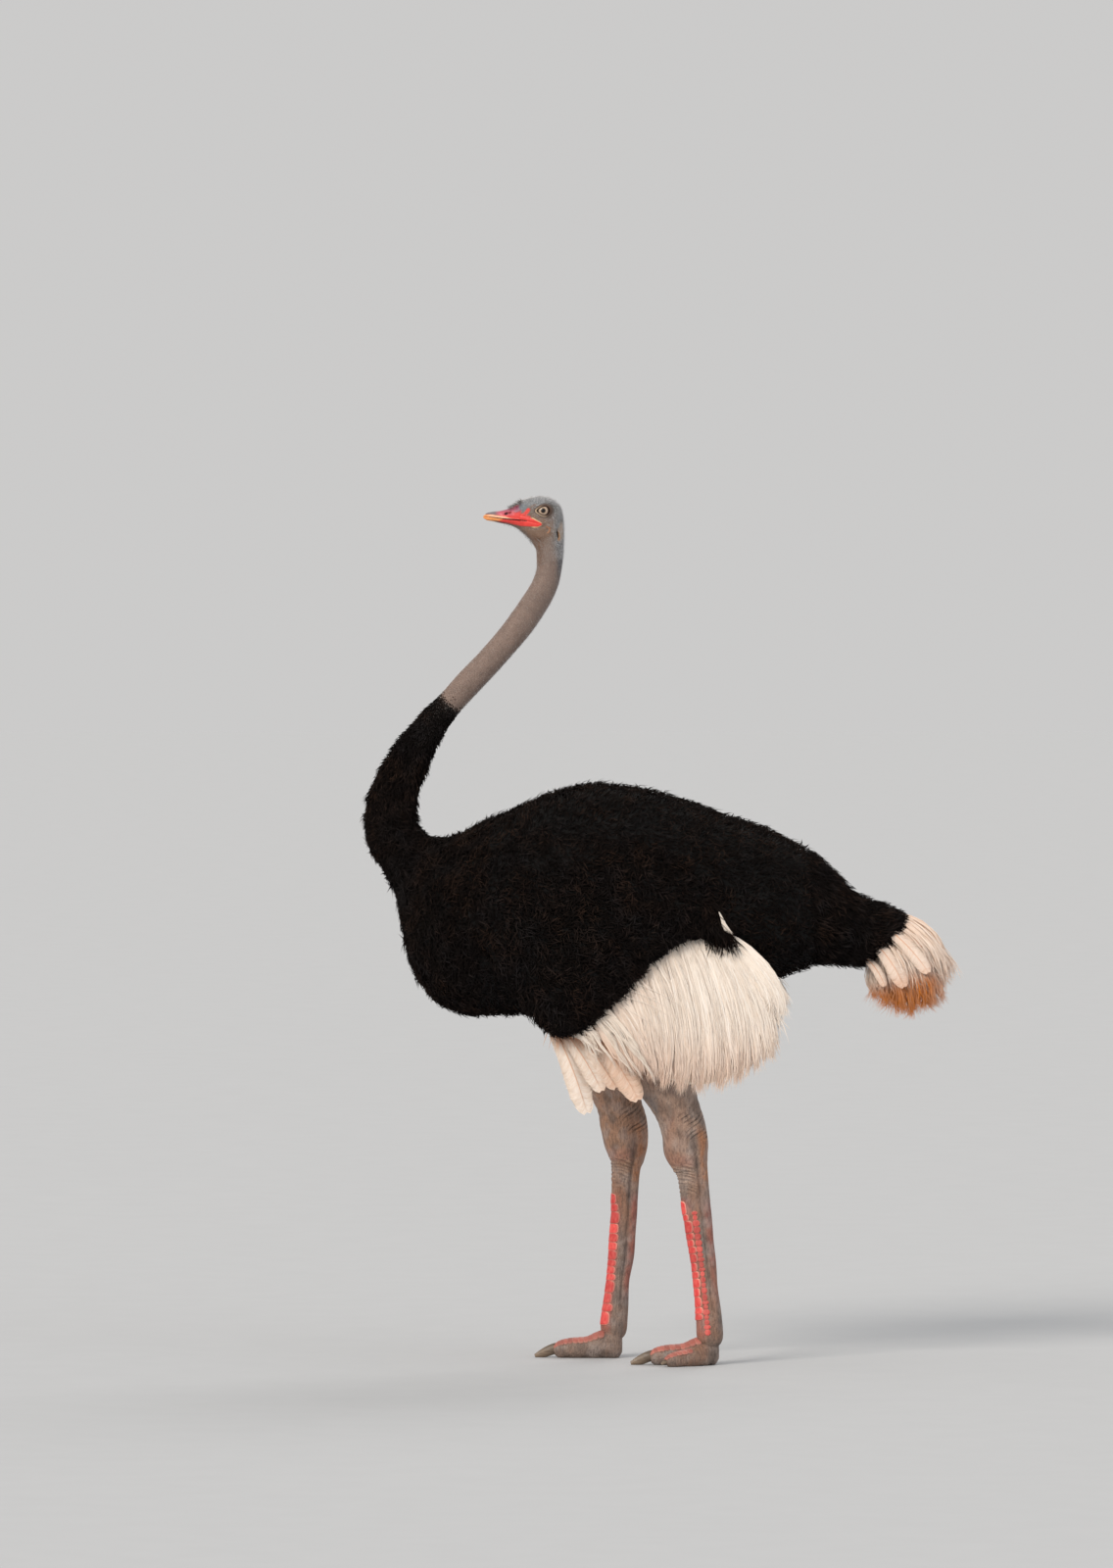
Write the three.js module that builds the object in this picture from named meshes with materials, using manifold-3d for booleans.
// A male Somali ostrich in mid stride, life size, in millimetres with +Z up.
// It faces -X, its left side is -Y, and the soles of both feet stand on Z = 0.
import * as THREE from "three";
import { mergeVertices } from "three/addons/utils/BufferGeometryUtils.js";
import Module from "manifold-3d";

const wasm = await Module();
wasm.setup();

// ---------------------------------------------------------------- driving dimensions

const GAP = 0.4; // clearance between two parts that lie against each other
const SEAM = 0.02; // part of a row left open between two lengths of the body
const REACH = 2500; // farther than any point of the bird from the origin

// The outline of head, neck and body, out to the tips of the feathers. Each row is one
// cross-section: [upper x, upper z, lower x, lower z, half width, squareness].
const BILL = [
  [-416, 1986, -416, 1982, 3, 2],
  [-407, 1992, -407, 1976, 10, 2.2],
  [-393, 1995, -393, 1970, 14, 2.3],
  [-376, 1998, -376, 1966, 17, 2.3],
  [-360, 2002, -360, 1965, 20, 2.2],
  [-344, 2011, -345, 1961, 22, 2.1],
  [-329, 2020, -331, 1954, 25, 2.1],
];
const HEAD = [
  [-329, 2020, -331, 1954, 25, 2.1],
  [-306, 2029, -318, 1942, 31, 2.2],
  [-285, 2032, -309, 1933, 36, 2.3],
  [-262, 2030, -303, 1925, 38, 2.3],
  [-242, 2019, -297, 1915, 37, 2.2],
  [-231, 2000, -292, 1904, 35, 2.1],
  [-226, 1965, -291, 1890, 33, 2],
  [-226, 1915, -291, 1876, 32, 2],
];
const NECK_BARE = [
  [-226, 1915, -291, 1876, 32, 2],
  [-230, 1865, -292, 1860, 31, 2],
  [-241, 1817, -301, 1834, 30, 2],
  [-262, 1773, -320, 1803, 30, 2],
  [-298, 1718, -348, 1762, 30, 2],
  [-336, 1672, -382, 1717, 30, 2],
  [-384, 1618, -430, 1662, 30, 2],
  [-429, 1570, -474, 1617, 30, 2],
  [-473, 1521, -518, 1569, 32, 2],
];
const NECK_FEATHERED = [
  [-473, 1521, -518, 1569, 32, 2],
  [-501, 1479, -561, 1528, 38, 2],
  [-531, 1421, -607, 1477, 45, 2],
  [-554, 1366, -650, 1414, 52, 2],
  [-567, 1318, -682, 1350, 58, 2],
  [-568, 1284, -696, 1288, 64, 2],
  [-561, 1259, -694, 1225, 72, 2],
  [-550, 1246, -662, 1162, 84, 2],
  [-536, 1240, -622, 1095, 98, 2.1],
];
const TRUNK = [
  [-536, 1240, -622, 1095, 98, 2.1],
  [-520, 1237, -601, 1012, 122, 2.1],
  [-501, 1237, -586, 938, 150, 2.2],
  [-478, 1242, -553, 872, 180, 2.2],
  [-446, 1255, -501, 825, 205, 2.2],
  [-400, 1281, -435, 808, 226, 2.3],
  [-330, 1313, -352, 810, 240, 2.3],
  [-250, 1345, -260, 808, 247, 2.3],
  [-165, 1365, -165, 805, 250, 2.3],
  [-70, 1358, -70, 806, 249, 2.3],
  [40, 1333, 40, 823, 242, 2.3],
  [152, 1293, 152, 851, 225, 2.3],
  [255, 1257, 267, 890, 196, 2.2],
  [336, 1213, 359, 923, 162, 2.2],
];
const RUMP = [
  [336, 1213, 359, 923, 162, 2.2],
  [393, 1164, 432, 930, 130, 2.1],
  [446, 1112, 480, 925, 100, 2],
  [487, 1091, 516, 950, 80, 2],
  [530, 1075, 549, 978, 62, 2],
  [562, 1062, 571, 1005, 42, 2],
  [582, 1040, 583, 1030, 10, 2],
];

const NECK_MIDDLE = 4.5; // row of the bare neck where its second length starts
const NECK_BASE = 5.5; // row of the feathered neck where its second length starts

// The mouth is closed: this line, from bill tip to the back of the bill, parts its two halves.
const MOUTH_LINE = [[-430, 1986], [-405, 1985], [-368, 1980], [-315, 1975]];

const EYE = { x: -275, y: 21.5, z: 1999, radius: 17 };

// A folded wing's covert feathers, over the side of the trunk. Rows as for the body, with the
// distance of the wing's middle from the body's at the end. The wing leans out at its lower edge.
const WING_LEAN = 50;
const WING = [
  [-455, 1112, -448, 1050, 22, 2.2, 172],
  [-412, 1191, -402, 954, 52, 2.2, 178],
  [-354, 1242, -335, 862, 74, 2.3, 184],
  [-285, 1270, -266, 779, 84, 2.3, 188],
  [-205, 1283, -195, 777, 88, 2.3, 190],
  [-124, 1283, -124, 830, 90, 2.3, 190],
  [-44, 1265, -40, 922, 90, 2.3, 188],
  [25, 1230, 37, 982, 86, 2.3, 186],
  [80, 1178, 103, 997, 80, 2.2, 184],
  [120, 1105, 150, 978, 70, 2.2, 182],
  [147, 1040, 166, 982, 54, 2, 184],
];

// The white wing plumes hang in a curtain. Plume i runs from a point of the root line to the
// same fraction of the tip line, both as [x, z, distance from the body's middle].
const PLUMES = 9;
const PLUME_NOTCH = 0.09; // how far the curtain's edge steps back between two tips
const PLUME_HALF_THICKNESS = 36;
const PLUME_ROOTS = [
  [-252, 800, 218],
  [-150, 832, 226],
  [-40, 915, 228],
  [75, 1003, 224],
  [170, 1010, 214],
  [246, 950, 198],
];
const PLUME_TIPS = [
  [-192, 582, 206],
  [-112, 628, 216],
  [-10, 606, 222],
  [104, 603, 222],
  [236, 655, 212],
  [305, 812, 190],
];

// The tail plumes, a tuft that droops over. Rows as for the body.
const TAIL = [
  [566, 1048, 486, 925, 50, 2],
  [600, 1034, 496, 895, 62, 2],
  [640, 1000, 515, 866, 70, 2],
  [674, 957, 548, 840, 72, 2],
  [691, 915, 590, 815, 66, 2],
  [691, 880, 628, 820, 50, 2],
  [677, 855, 655, 837, 22, 2],
];

// Legs: [x, z, half depth, half width] down the middle of each leg, from inside the body past
// the ankle to the toe joint. The left leg is the hinder one of the stride.
const LEG_Y = 118;
const LEG_LEFT = [
  [-125, 935, 112, 92],
  [-67, 828, 100, 84],
  [-12, 713, 80, 68],
  [34, 610, 55, 50],
  [53, 552, 52, 43],
  [60, 505, 51, 40],
  [68, 472, 42, 34],
  [75, 440, 35, 26],
  [84, 360, 33, 22],
  [98, 253, 29, 21],
  [107, 170, 28, 22],
  [113, 105, 31, 27],
  [116, 62, 30, 29],
  [116, 42, 18, 20],
];
const LEG_RIGHT = [
  [-222, 935, 112, 92],
  [-178, 828, 100, 84],
  [-136, 713, 80, 68],
  [-100, 610, 54, 50],
  [-86, 552, 55, 43],
  [-79, 505, 50, 40],
  [-78, 472, 41, 34],
  [-81, 440, 33, 26],
  [-85, 345, 30, 22],
  [-91, 253, 30, 21],
  [-99, 180, 27, 22],
  [-106, 105, 31, 27],
  [-109, 62, 30, 29],
  [-110, 42, 18, 20],
];
const ANKLE_ROW = 4; // the row above the ankle, where thigh and shank are parted
const ANKLE_SEAM = 0.01; // part of a row left open there

// A foot has two toes. Rows run from the heel pad forward, as [forward, z, half height, half
// width], measured from the ground under the toe joint.
const INNER_TOE = [
  [-20, 30, 18, 18],
  [-8, 30, 31, 28],
  [22, 30, 34, 31],
  [60, 23, 26, 30],
  [100, 21, 24, 29],
  [126, 18, 20, 24],
  [140, 15, 10, 13],
];
const INNER_CLAW = [
  [112, 24, 14, 14],
  [140, 20, 13, 12],
  [165, 10, 11, 8],
  [186, 3, 4, 3],
];
const OUTER_TOE = [
  [-4, 24, 18, 14],
  [20, 25, 26, 20],
  [55, 19, 21, 20],
  [90, 16, 18, 18],
  [112, 13, 13, 13],
  [120, 11, 6, 6],
];
const OUTER_CLAW = [
  [104, 14, 6, 6],
  [120, 12, 6, 5],
  [132, 7, 3, 3],
];
const INNER_TOE_OUT = -8; // the inner toe's axis lies this far towards the body's middle
const INNER_TOE_TURN = 3; // degrees outward
const OUTER_TOE_OUT = 14;
const OUTER_TOE_TURN = 30;

// ---------------------------------------------------------------- materials

const finish = (color, roughness) => new THREE.MeshStandardMaterial({ color, roughness, metalness: 0 });
const MATERIALS = {
  blackPlumage: finish(0x171314, 0.9),
  whitePlumage: finish(0xe9e2d6, 0.85),
  blueSkin: finish(0x8d99a4, 0.7),
  redHorn: finish(0xc2564f, 0.45),
  eye: finish(0x2a1d14, 0.1),
  thighSkin: finish(0x776a62, 0.75),
  shankSkin: finish(0x8d7f74, 0.65),
  claw: finish(0x3b332c, 0.5),
};

// ---------------------------------------------------------------- lofted shapes

// The row at station t of a list of rows, on a smooth (uniform Catmull-Rom) curve through them.
function rowAt(rows, t) {
  const i = Math.min(Math.floor(t), rows.length - 2);
  const u = t - i;
  const before = rows[Math.max(i - 1, 0)];
  const after = rows[Math.min(i + 2, rows.length - 1)];
  return rows[i].map((b, k) => {
    const a = before[k];
    const c = rows[i + 1][k];
    const d = after[k];
    const quadratic = 2 * a - 5 * b + 4 * c - d;
    const cubic = 3 * b - a - 3 * c + d;
    return b + 0.5 * u * (c - a + u * (quadratic + u * cubic));
  });
}

const signedPower = (value, exponent) => Math.sign(value) * Math.abs(value) ** exponent;

// Point k of a closed superellipse of `around` points: [across, up], each from -1 to 1.
function superellipse(k, around, squareness) {
  const angle = (2 * Math.PI * k) / around;
  const exponent = 2 / squareness;
  return [signedPower(Math.sin(angle), exponent), signedPower(Math.cos(angle), exponent)];
}

// A closed skin over rings of equal point counts, with a flat cap at each end.
function skinRings(rings) {
  const around = rings[0].length;
  const points = rings.flat();
  const faces = [];
  for (let r = 0; r + 1 < rings.length; r++) {
    for (let k = 0; k < around; k++) {
      const a = r * around + k;
      const b = r * around + ((k + 1) % around);
      faces.push(a, a + around, b, b, a + around, b + around);
    }
  }
  for (const [ring, flip] of [[0, false], [rings.length - 1, true]]) {
    const centre = new THREE.Vector3();
    rings[ring].forEach((point) => centre.addScaledVector(point, 1 / around));
    points.push(centre);
    for (let k = 0; k < around; k++) {
      const a = ring * around + k;
      const b = ring * around + ((k + 1) % around);
      faces.push(points.length - 1, flip ? b : a, flip ? a : b);
    }
  }
  const geometry = new THREE.BufferGeometry().setFromPoints(points);
  geometry.setIndex(faces);
  return geometry;
}

// A body-like loft over rows of [upper x, upper z, lower x, lower z, half width, squareness,
// distance out]. `grow` swells it all round, `lean` tips each ring outward below, and `sign`
// is the side that out is on: -1 for the left and 1 for the right.
function loftRows(rows, { from = 0, to = rows.length - 1, steps, around, grow = 0, sign = 1, lean = 0 }) {
  const rings = [];
  for (let s = 0; s <= steps; s++) {
    const t = from + ((to - from) * s) / steps;
    const [ux, uz, lx, lz, halfWidth, squareness, out = 0] = rowAt(rows, t);
    const middle = new THREE.Vector3((ux + lx) / 2, sign * out, (uz + lz) / 2);
    const up = new THREE.Vector3((ux - lx) / 2, -sign * lean, (uz - lz) / 2);
    const stretch = 1 + grow / up.length();
    const ring = [];
    for (let k = 0; k < around; k++) {
      const [across, height] = superellipse(k, around, squareness);
      const point = middle.clone().addScaledVector(up, height * stretch);
      point.y += across * (halfWidth + grow);
      ring.push(point);
    }
    rings.push(ring);
  }
  return skinRings(rings);
}

// A limb along a path of rows [x, y, z, half depth, half width]. Half width lies across, as
// near to Y as the path allows, and half depth is square to it and to the path.
function limb(rows, { from = 0, to = rows.length - 1, steps, around, grow = 0, squareness = 2 }) {
  const pointAt = (t) => new THREE.Vector3(...rowAt(rows, t));
  const rings = [];
  for (let s = 0; s <= steps; s++) {
    const t = from + ((to - from) * s) / steps;
    const [x, y, z, halfDepth, halfWidth] = rowAt(rows, t);
    const ahead = pointAt(Math.min(t + 0.05, rows.length - 1));
    const along = ahead.sub(pointAt(Math.max(t - 0.05, 0))).normalize();
    const across = new THREE.Vector3(0, 1, 0).addScaledVector(along, -along.y).normalize();
    const depth = new THREE.Vector3().crossVectors(along, across);
    const ring = [];
    for (let k = 0; k < around; k++) {
      const [h, v] = superellipse(k, around, squareness);
      ring.push(
        new THREE.Vector3(x, y, z)
          .addScaledVector(across, h * (halfWidth + grow))
          .addScaledVector(depth, v * (halfDepth + grow)),
      );
    }
    rings.push(ring);
  }
  return skinRings(rings);
}

// ---------------------------------------------------------------- solids

// A three.js geometry as a solid for joining and cutting.
function solid(geometry) {
  const bare = geometry.clone();
  bare.deleteAttribute("normal");
  bare.deleteAttribute("uv");
  const merged = mergeVertices(bare, 1e-4);
  const vertProperties = new Float32Array(merged.attributes.position.array);
  const triVerts = new Uint32Array(merged.index.array);
  const body = new wasm.Manifold(new wasm.Mesh({ numProp: 3, vertProperties, triVerts }));
  if (body.volume() > 0) return body;
  for (let i = 0; i < triVerts.length; i += 3) {
    [triVerts[i], triVerts[i + 1]] = [triVerts[i + 1], triVerts[i]];
  }
  return new wasm.Manifold(new wasm.Mesh({ numProp: 3, vertProperties, triVerts }));
}

const cut = (body, ...cutters) => cutters.reduce((rest, cutter) => rest.subtract(cutter), body);

// The largest connected piece of a solid, so that a cut leaves no crumbs.
function mainPiece(body) {
  const pieces = body.decompose();
  return pieces.reduce((best, piece) => (piece.volume() > best.volume() ? piece : best));
}

// A prism right across the body, over an outline of [x, z] points.
function prism(outline) {
  const shape = new THREE.Shape(outline.map(([x, z]) => new THREE.Vector2(x, z)));
  const geometry = new THREE.ExtrudeGeometry(shape, { depth: REACH, bevelEnabled: false });
  geometry.rotateX(Math.PI / 2).translate(0, REACH / 2, 0);
  return solid(geometry);
}

// All the space over (or, with a negative height, under) a line of [x, z] points.
function spaceOver(line, height = REACH) {
  const [first, last] = [line[0], line[line.length - 1]];
  return prism([...line, [last[0], last[1] + height], [first[0], first[1] + height]]);
}

const ostrich = new THREE.Group();

// Adds a solid to the model as one named mesh.
function addPart(name, body, material) {
  const { vertProperties, triVerts } = mainPiece(body).getMesh();
  const geometry = new THREE.BufferGeometry();
  geometry.setAttribute("position", new THREE.BufferAttribute(vertProperties, 3));
  geometry.setIndex(new THREE.BufferAttribute(triVerts, 1));
  geometry.computeVertexNormals();
  const mesh = new THREE.Mesh(geometry, material);
  mesh.name = name;
  ostrich.add(mesh);
}

// ---------------------------------------------------------------- bill, head and eyes

const SIDES = [
  { side: "left", sign: -1, leg: LEG_LEFT },
  { side: "right", sign: 1, leg: LEG_RIGHT },
];

function buildHead() {
  const bill = solid(loftRows(BILL, { to: BILL.length - 1 - SEAM, steps: 7, around: 14 }));
  const shifted = (dz) => MOUTH_LINE.map(([x, z]) => [x, z + dz]);
  addPart("bill_upper", bill.intersect(spaceOver(shifted(GAP / 2))), MATERIALS.redHorn);
  addPart("bill_lower", bill.intersect(spaceOver(shifted(-GAP / 2), -REACH)), MATERIALS.redHorn);

  let head = solid(loftRows(HEAD, { steps: 11, around: 18 }));
  for (const { side, sign } of SIDES) {
    const place = [EYE.x, sign * EYE.y, EYE.z];
    const ball = (radius) => solid(new THREE.SphereGeometry(radius, 12, 7).translate(...place));
    head = cut(head, ball(EYE.radius + GAP));
    addPart(`eye_${side}`, ball(EYE.radius), MATERIALS.eye);
  }
  addPart("head", head, MATERIALS.blueSkin);
}

// ---------------------------------------------------------------- neck, trunk and rump

function buildBody() {
  const neck = (rows, from, to, steps) =>
    solid(loftRows(rows, { from, to: to - SEAM, steps, around: 16 }));
  const bareEnd = NECK_BARE.length - 1;
  const featheredEnd = NECK_FEATHERED.length - 1;
  addPart("neck_upper", neck(NECK_BARE, SEAM, NECK_MIDDLE, 8), MATERIALS.blueSkin);
  addPart("neck_middle", neck(NECK_BARE, NECK_MIDDLE, bareEnd, 5), MATERIALS.blueSkin);
  addPart("neck_lower", neck(NECK_FEATHERED, 0, NECK_BASE, 9), MATERIALS.blackPlumage);
  addPart("neck_base", neck(NECK_FEATHERED, NECK_BASE, featheredEnd, 5), MATERIALS.blackPlumage);

  const trunk = (grow, to = TRUNK.length - 1) =>
    solid(loftRows(TRUNK, { to, steps: 15, around: 26, grow }));
  const rump = (grow) => solid(loftRows(RUMP, { steps: 8, around: 20, grow }));
  addPart("trunk", trunk(0, TRUNK.length - 1 - SEAM), MATERIALS.blackPlumage);
  addPart("rump", rump(0), MATERIALS.blackPlumage);
  return trunk(GAP).add(rump(GAP));
}

// ---------------------------------------------------------------- legs and feet

// A toe's rows, turned outward by `turn` degrees about the ground under the toe joint.
function toeRows(rows, { x, y, sign, out, turn }) {
  const angle = THREE.MathUtils.degToRad(turn);
  return rows.map(([forward, z, halfHeight, halfWidth]) => [
    x - forward * Math.cos(angle),
    y + sign * (out + forward * Math.sin(angle)),
    z,
    halfHeight,
    halfWidth,
  ]);
}

function buildLeg({ side, sign, leg }, bodyCutter) {
  const y = sign * LEG_Y;
  const rows = leg.map(([x, z, depth, width]) => [x, y, z, depth, width]);
  const thigh = (grow, to) => solid(limb(rows, { to, steps: 8, around: 16, grow, squareness: 2.1 }));
  const shank = (grow) =>
    solid(limb(rows, { from: ANKLE_ROW, steps: 14, around: 14, grow, squareness: 2.2 }));
  addPart(`thigh_${side}`, cut(thigh(0, ANKLE_ROW - ANKLE_SEAM), bodyCutter), MATERIALS.thighSkin);
  addPart(`shank_${side}`, shank(0), MATERIALS.shankSkin);

  const place = { x: leg[leg.length - 2][0], y, sign };
  const inner = { ...place, out: INNER_TOE_OUT, turn: INNER_TOE_TURN };
  const outer = { ...place, out: OUTER_TOE_OUT, turn: OUTER_TOE_TURN };
  const aboveGround = spaceOver([[-REACH / 2, 0], [REACH / 2, 0]]);
  const onGround = (geometry) => solid(geometry).intersect(aboveGround);
  const toe = (rows, where, grow) =>
    onGround(limb(toeRows(rows, where), { steps: 7, around: 10, grow, squareness: 2.3 }));
  const claw = (rows, where, grow) =>
    onGround(limb(toeRows(rows, where), { steps: 5, around: 8, grow }));
  const shankCutter = shank(GAP);
  const innerClaw = claw(INNER_CLAW, inner, GAP);
  const outerClaw = claw(OUTER_CLAW, outer, GAP);
  const innerToe = toe(INNER_TOE, inner, GAP);
  const mainToe = cut(toe(INNER_TOE, inner, 0), shankCutter, innerClaw);
  const sideToe = cut(toe(OUTER_TOE, outer, 0), shankCutter, innerToe, outerClaw);
  addPart(`toe_inner_${side}`, mainToe, MATERIALS.shankSkin);
  addPart(`toe_outer_${side}`, sideToe, MATERIALS.shankSkin);
  addPart(`claw_inner_${side}`, claw(INNER_CLAW, inner, 0), MATERIALS.claw);
  addPart(`claw_outer_${side}`, claw(OUTER_CLAW, outer, 0), MATERIALS.claw);
  return thigh(GAP, ANKLE_ROW);
}

// ---------------------------------------------------------------- wings and plumes

// Rows of a plume curtain: one at each plume's middle and one, shorter and thinner, between.
function curtainRows() {
  const rows = [];
  for (let i = 0; i <= 2 * PLUMES; i++) {
    const between = i % 2 === 0;
    const along = (i / (2 * PLUMES)) * (PLUME_ROOTS.length - 1);
    const [rootX, rootZ, rootOut] = rowAt(PLUME_ROOTS, along);
    const tip = rowAt(PLUME_TIPS, along);
    const back = between ? PLUME_NOTCH : 0;
    const tipX = tip[0] + (rootX - tip[0]) * back;
    const tipZ = tip[1] + (rootZ - tip[1]) * back;
    const halfThickness = PLUME_HALF_THICKNESS * (between ? 0.75 : 1);
    rows.push([rootX, rootZ, tipX, tipZ, halfThickness, 2, (rootOut + tip[2]) / 2]);
  }
  return rows;
}

function buildWing({ side, sign }, cutters) {
  const wing = (grow) =>
    solid(loftRows(WING, { steps: 13, around: 18, grow, sign, lean: WING_LEAN }));
  addPart(`wing_${side}`, cut(wing(0), ...cutters), MATERIALS.blackPlumage);

  const rows = curtainRows();
  const lean = (PLUME_TIPS[0][2] - PLUME_ROOTS[0][2]) / 2;
  const curtain = solid(loftRows(rows, { steps: rows.length - 1, around: 10, sign, lean }));
  addPart(`wing_plumes_${side}`, cut(curtain, wing(GAP), ...cutters), MATERIALS.whitePlumage);
}

function buildTail(bodyCutter) {
  const tail = solid(loftRows(TAIL, { steps: 8, around: 14 }));
  addPart("tail_plumes", cut(tail, bodyCutter), MATERIALS.whitePlumage);
}

// ---------------------------------------------------------------- the whole bird

buildHead();
const bodyCutter = buildBody();
for (const limbs of SIDES) {
  const thighCutter = buildLeg(limbs, bodyCutter);
  buildWing(limbs, [bodyCutter, thighCutter]);
}
buildTail(bodyCutter);

export default ostrich;
